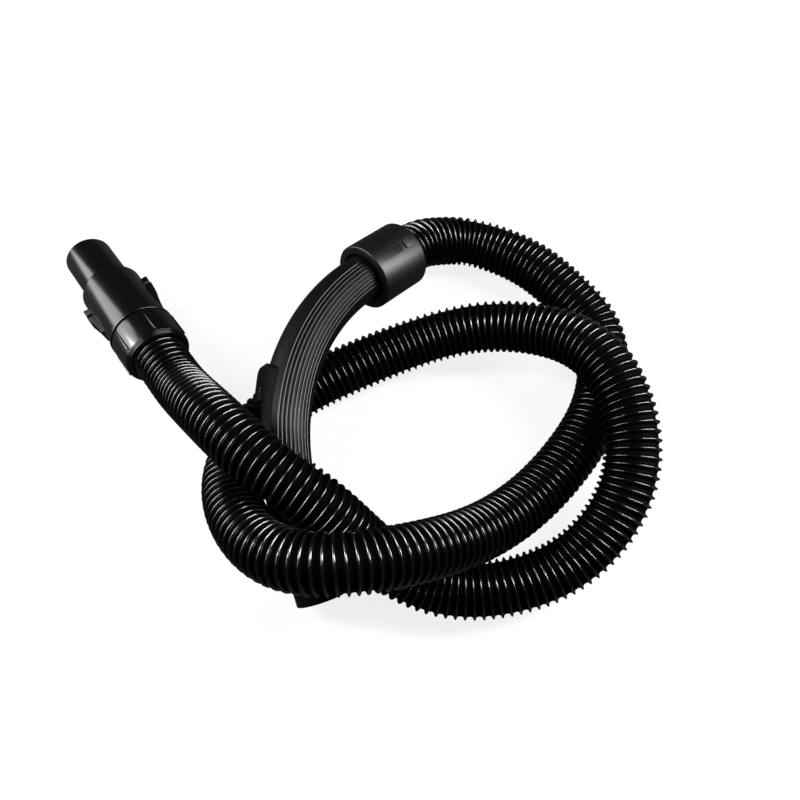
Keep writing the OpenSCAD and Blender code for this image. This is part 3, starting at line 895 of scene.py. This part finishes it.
@dataclass
class WandHandle:
    """The hose's other end: collar, turning sleeve, bent ridged tube and air slider."""

    tube_r: float = 18.0
    bore_r: float = 16.2
    bend_r: float = WAND_BEND_R
    bend: float = 71.0
    # the straight ends: how far they run, and where the lead ends inside the collar
    lead: float = WAND_LEAD
    lead_at: float = 25.4
    tail: float = 64.0
    tail_r: float = 18.3
    tail_bore_r: float = 16.5
    ridges: int = 9
    ridge_step: float = 9.0
    ridge_h: float = 0.9
    ridge_w: float = 1.7
    tube_name: str = "handle_tube_ridged"

    def collar(self) -> bpy.types.Object:
        """The collar over the hose's end and the tube, with two small windows."""
        piece = turned("wand_collar", [
            (22.45, 0, 0.3), (26.45, 0, 3.4), (26.45, 46, 1.4), (20.25, 46, 0.5), (20.25, 43, 0.4),
            (18.05, 43, 0.3), (18.05, 25.35), (16.0, 25.35), (16.0, 23.85), (22.45, 23.85)],
            Matrix.Scale(MM, 4), 144)
        for degrees in (8, 188):
            # the turned collar's Z is the wand's X, so a window stands at 90 degrees on
            tool = block("window", (-3.6, 20.0, 13.4), (3.6, 30.0, 17.6), 0.5)
            tool.data.transform(Matrix.Scale(MM, 4) @ Matrix.Rotation(
                math.radians(degrees + 90), 4, "Z"))
            cut(piece, tool)
        soften(piece, 0.2, 50)
        finish_mesh(piece, 35, merge=False)
        piece.data.transform(collar_frame() @ Matrix.Scale(1 / MM, 4))
        return piece

    def sleeve(self) -> bpy.types.Object:
        """The threaded sleeve that turns in the collar; only its flange shows."""
        return turned("hose_sleeve", [
            (20.3, -1.5, 0.3), (24.0, -1.5, 0.4), (24.0, -0.3, 0.3), (22.4, -0.3), (22.4, 13.2),
            (21.4, 13.2), (21.4, 17.8), (22.4, 17.8), (22.4, 22.6), (16.0, 22.6), (16.0, 20.3),
            (20.3, 20.3)], collar_frame(), 128)

    def ridge(self, degrees: float) -> float:
        """Height of the grip ridges over the tube at an angle round its section.

        Args:
            degrees: The angle round the section, 90 and 270 at the middles of the flanks.

        Returns:
            The height in millimetres.
        """
        flank = degrees % 180 - 90
        k = round(flank / self.ridge_step)
        if abs(k) > (self.ridges - 1) // 2:
            return 0.0
        off = abs(flank - k * self.ridge_step) * math.pi / 180 * self.tube_r
        half = self.ridge_w / 2
        if off >= half:
            return 0.0
        return self.ridge_h * math.sqrt(1 - (off / half) ** 2)

    def tube(self) -> bpy.types.Object:
        """The bent tube: a section spun round the bend, with straight ends, a bore and a vent."""
        section = []
        for degrees in np.arange(0, 360, 0.9):
            radius, angle = self.tube_r + self.ridge(degrees), math.radians(degrees)
            section.append((0, radius * math.cos(angle) * MM, radius * math.sin(angle) * MM))
        piece = loop_piece(self.tube_name, section)
        bpy.ops.object.mode_set(mode="EDIT")
        bpy.ops.mesh.select_all(action="SELECT")
        bpy.ops.mesh.spin(steps=72, angle=-math.radians(self.bend),
                          center=(0, self.bend_r * MM, 0), axis=(0, 0, 1))
        bpy.ops.object.mode_set(mode="OBJECT")
        piece.data.transform(Matrix.Scale(1 / MM, 4))
        shape = bmesh.new()
        shape.from_mesh(piece.data)
        self.fade_ridges(shape)
        self.add_ends(shape)
        shape.to_mesh(piece.data)
        shape.free()
        piece.data.transform(Matrix.Scale(MM, 4))
        vent = block("vent", (-11, -22, -3), (-1, -14, 3), 0.5)
        vent.data.transform(Matrix.Scale(MM, 4) @ wand_frame().inverted() @ bend_frame(46))
        cut(piece, vent)
        finish_mesh(piece, 35, merge=False)
        piece.data.transform(wand_frame() @ Matrix.Scale(1 / MM, 4))
        return piece

    def fade_ridges(self, shape: bmesh.types.BMesh) -> None:
        """Lets the ridges rise and die away at the bend's ends, and puts the bend on its lead.

        Args:
            shape: The spun bend, in millimetres, its start at X = 0.
        """
        length = math.radians(self.bend) * self.bend_r
        for vertex in shape.verts:
            turn = math.atan2(vertex.co.x, self.bend_r - vertex.co.y)
            centre = Vector((self.bend_r * math.sin(turn),
                             self.bend_r - self.bend_r * math.cos(turn), 0))
            out = vertex.co - centre
            arc = turn * self.bend_r
            # a ridge rises over 1.5 mm in front of the collar, and ends 1 mm short of the tail
            fade = min(max(arc / 1.5, 0), 1, max((length - arc - 1) / 2, 0))
            fade = math.sqrt(1 - (1 - fade) ** 2)
            vertex.co = centre + out.normalized() * (
                self.tube_r + (out.length - self.tube_r) * fade)
        bmesh.ops.translate(shape, verts=shape.verts, vec=(self.lead, 0, 0))

    def middle(self, turn: float) -> Vector:
        """The tube's middle at an angle round the bend, in millimetres.

        Args:
            turn: The angle in radians.

        Returns:
            The point.
        """
        return Vector((self.lead + self.bend_r * math.sin(turn),
                       self.bend_r * (1 - math.cos(turn)), 0))

    def rim(self, shape: bmesh.types.BMesh, turn: float,
            radius: float | None = None) -> list[bmesh.types.BMEdge]:
        """Open edges in the tube's section at an angle round the bend.

        Args:
            shape: The tube, in millimetres.
            turn: The angle in radians.
            radius: Their distance from the tube's middle, if not any.

        Returns:
            The edges.
        """
        middle, along = self.middle(turn), Vector((math.cos(turn), math.sin(turn), 0))

        def belongs(vertex: bmesh.types.BMVert) -> bool:
            """Whether a point lies in the section, at the asked distance."""
            off = vertex.co - middle
            return (abs(off.dot(along)) < 1e-3 and off.length < 30
                    and (radius is None or abs(off.length - radius) < 0.05))

        return [e for e in shape.edges if e.is_boundary and all(belongs(v) for v in e.verts)]

    def run_on(self, shape: bmesh.types.BMesh, edges: list[bmesh.types.BMEdge], turn: float,
               steps: list[tuple[float, float]]) -> None:
        """Extrudes a rim straight along the tube.

        Args:
            shape: The tube, in millimetres.
            edges: The rim.
            turn: Its angle round the bend in radians.
            steps: The distances and radii that it reaches in turn.
        """
        middle, along = self.middle(turn), Vector((math.cos(turn), math.sin(turn), 0))
        for distance, radius in steps:
            grown = bmesh.ops.extrude_edge_only(shape, edges=edges)["geom"]
            for v in (g for g in grown if isinstance(g, bmesh.types.BMVert)):
                out = v.co - middle
                out -= along * out.dot(along)
                v.co = middle + along * distance + out.normalized() * radius
            edges = [g for g in grown if isinstance(g, bmesh.types.BMEdge)]

    def add_ends(self, shape: bmesh.types.BMesh) -> None:
        """Adds the tail, the bore back through the bend, and the lead into the collar.

        Args:
            shape: The bend on its lead, in millimetres.
        """
        end, tail, r, bore = math.radians(self.bend), self.tail, self.tail_r, self.tail_bore_r
        self.run_on(shape, self.rim(shape, end), end, [
            (0.15, r), (0.5, r), (tail - 0.6, r), (tail - 0.2, r - 0.15), (tail, r - 0.4),
            (tail, bore + 0.4), (tail - 0.4, bore), (0.0, bore), (0.0, self.bore_r)])
        inner = self.rim(shape, end, self.bore_r)
        steps = 36
        for k in range(steps):
            back, turn = end * (1 - k / steps), end * (1 - (k + 1) / steps)
            rotate = Matrix.Rotation(turn - back, 3, "Z")
            grown = bmesh.ops.extrude_edge_only(shape, edges=inner)["geom"]
            for v in (g for g in grown if isinstance(g, bmesh.types.BMVert)):
                v.co = self.middle(turn) + rotate @ (v.co - self.middle(back))
            inner = [g for g in grown if isinstance(g, bmesh.types.BMEdge)]
        lead = self.lead_at - self.lead
        self.run_on(shape, inner, 0.0, [(lead, self.bore_r)])
        self.run_on(shape, self.rim(shape, 0.0, self.tube_r), 0.0, [(lead, self.tube_r)])
        bmesh.ops.bridge_loops(shape, edges=[e for e in shape.edges if e.is_boundary])
        bmesh.ops.recalc_face_normals(shape, faces=shape.faces)

    def build(self, paints: Paints) -> list[bpy.types.Object]:
        """Builds and dresses the wand end.

        Args:
            paints: The finishes' materials.

        Returns:
            The wand end's pieces.
        """
        made = []
        root = "hose_and_handle"
        for piece, body, node, finish, slot in (
                (self.collar(), root, "collar", Finish.GRAINED, "collar_black"),
                (self.sleeve(), "hose_end_sleeve", "wand_sleeve", Finish.SLEEVE, "sleeve_black"),
                (softened_copy("snap_key_upper", "snap_key_top", 0.2), root, "snap_key_upper",
                 Finish.SLEEVE, "sleeve_black"),
                (softened_copy("snap_key_lower", "snap_key_under", 0.2), root, "snap_key_lower",
                 Finish.SLEEVE, "sleeve_black"),
                (self.tube(), root, "handle_tube", Finish.HANDLE, "handle_black"),
                (softened_copy("slider_housing", "air_slider_housing", 0.5), root,
                 "slider_housing", Finish.HOUSING, "handle_black"),
                (softened_copy("air_slider", "air_slider_button", 0.25), "slider", "air_slider",
                 Finish.LATCH, "latch_black")):
            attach(paints.coat(piece, finish), body)
            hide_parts(node)
            made.append(piece)
        self.polish_ridges(bpy.data.objects[self.tube_name], paints)
        return made

    def polish_ridges(self, piece: bpy.types.Object, paints: Paints) -> None:
        """Gives the tops of the tube's ridges their own, glossier finish.

        Args:
            piece: The bent tube.
            paints: The finishes' materials.
        """
        piece.data.materials.append(paints.of(Finish.RIDGE))
        back = wand_frame().inverted()
        for face in piece.data.polygons:
            point = back @ face.center
            x, y = point.x - self.lead, self.bend_r - point.y
            off = math.hypot(math.hypot(x, y) - self.bend_r, point.z)
            turn = math.degrees(math.atan2(x, y))
            # a third of a ridge's height is its flank, and the rest its polished top
            if 0 < turn < self.bend and off > self.tube_r + self.ridge_h / 3:
                face.material_index = 1


# ---------------- the studio

class Studio:
    """The camera, the floor and the soft lamps."""

    lens_mm = 33.75
    camera_at = (0.127, -0.2368, 0.540)
    camera_tilt = 25
    floor_size = 12
    # just under the hose, so that the two don't flicker
    floor_at = (0, 0, -0.0003)
    paper = "#f2f2f2"
    # what the lamps face, and each lamp's name, place, size and power
    target = Vector((0.1, 0.0, 0.03))
    softboxes = (("softbox_left_low", (-0.88, 0.14, 0.38), (0.8, 0.62), 8.5),
                 ("softbox_left_high", (-0.8, 0.1, 0.85), (0.22, 1.0), 19),
                 ("softbox_right", (1.05, 0.15, 0.75), (0.32, 1.1), 34))

    def camera(self) -> None:
        """Puts the camera in front of the hose, looking steeply down."""
        data = bpy.data.cameras.new("camera")
        data.lens = self.lens_mm
        data.sensor_width = 36
        camera = bpy.data.objects.new("camera", data)
        camera.location = self.camera_at
        camera.rotation_euler = (math.radians(self.camera_tilt), 0, 0)
        bpy.context.scene.collection.objects.link(camera)
        bpy.context.scene.camera = camera

    def floor(self) -> None:
        """A plain white floor that keeps the soft shadow under the hose."""
        deselect()
        bpy.ops.mesh.primitive_plane_add(size=self.floor_size, location=self.floor_at)
        plane = bpy.context.object
        plane.name = "studio_floor"
        material, tree = empty_material("studio_paper_white")
        rays = add_node(tree, "ShaderNodeLightPath")
        seen = add_node(tree, "ShaderNodeMath", {"operation": "MAXIMUM"},
                        n0=rays.outputs["Is Camera Ray"], n1=rays.outputs["Is Transmission Ray"])
        # what the camera sees is 84 % an even white, and the rest is lit and keeps the shadow
        share = add_node(tree, "ShaderNodeMath", {"operation": "MULTIPLY"},
                         n0=seen.outputs["Value"], n1=0.84)
        # the pieces see a greyer paper than the camera does, so that their edges stay black
        tint = add_node(tree, "ShaderNodeMix", {"data_type": "RGBA"},
                        Factor=rays.outputs["Is Camera Ray"], n6=linear("#3c3c3c"),
                        n7=linear(self.paper))
        paper = add_node(tree, "ShaderNodeBsdfDiffuse", Color=tint.outputs[2])
        glow = add_node(tree, "ShaderNodeEmission", Color=(1, 1, 1, 1), Strength=1.0)
        mixed = add_node(tree, "ShaderNodeMixShader", n0=share.outputs["Value"],
                         n1=paper.outputs["BSDF"], n2=glow.outputs["Emission"])
        add_node(tree, "ShaderNodeOutputMaterial", Surface=mixed.outputs["Shader"])
        plane.data.materials.append(material)

    def lamp(self, name: str, place: Place, size: tuple[float, float], power: float) -> None:
        """Adds a softbox that faces the hose.

        Args:
            name: The lamp's name.
            place: Its place in metres.
            size: Its width and height in metres.
            power: Its power in watts.
        """
        data = bpy.data.lights.new(name, "AREA")
        data.shape = "RECTANGLE"
        data.size, data.size_y = size
        data.energy = power
        lamp = bpy.data.objects.new(name, data)
        lamp.location = place
        lamp.rotation_euler = (self.target - Vector(place)).to_track_quat("-Z", "Y").to_euler()
        bpy.context.scene.collection.objects.link(lamp)

    def world(self) -> None:
        """A dim, even surround, which the camera alone sees as white paper."""
        world = bpy.data.worlds.new("studio_air")
        bpy.context.scene.world = world
        world.use_nodes = True
        world.node_tree.nodes.clear()
        air = add_node(world.node_tree, "ShaderNodeBackground", Color=linear("#c8c8cc"),
                       Strength=0.05)
        paper = add_node(world.node_tree, "ShaderNodeBackground", Color=linear(self.paper))
        rays = add_node(world.node_tree, "ShaderNodeLightPath")
        mixed = add_node(world.node_tree, "ShaderNodeMixShader",
                         n0=rays.outputs["Is Camera Ray"], n1=air.outputs["Background"],
                         n2=paper.outputs["Background"])
        add_node(world.node_tree, "ShaderNodeOutputWorld", Surface=mixed.outputs["Shader"])

    def build(self) -> None:
        """Sets up the whole studio."""
        self.camera()
        self.floor()
        self.world()
        for name, place, size, power in self.softboxes:
            self.lamp(name, place, size, power)
        bpy.context.scene.view_settings.view_transform = "Standard"


def main() -> None:
    """Builds the studio and the pieces in order, and reports each."""
    Studio().build()
    paints = Paints()
    ribbed = RibbedHose()
    hose = ribbed.build()
    ribbed.dress(hose, paints)
    pieces = [hose] + MachineConnector().build(paints) + WandHandle().build(paints)
    for node, finish in (("swivel_washer", Finish.WASHER), ("swivel_seal", Finish.FELT),
                         ("hose_ferrule", Finish.SLEEVE), ("sleeve_seal", Finish.FELT),
                         ("slider_pad", Finish.FELT)):
        paints.coat(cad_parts[node], finish)
    for piece in pieces:
        piece.data.calc_loop_triangles()
        LOG.info("%s: %d triangles", piece.name, len(piece.data.loop_triangles))


if __name__ == "__main__":
    main()
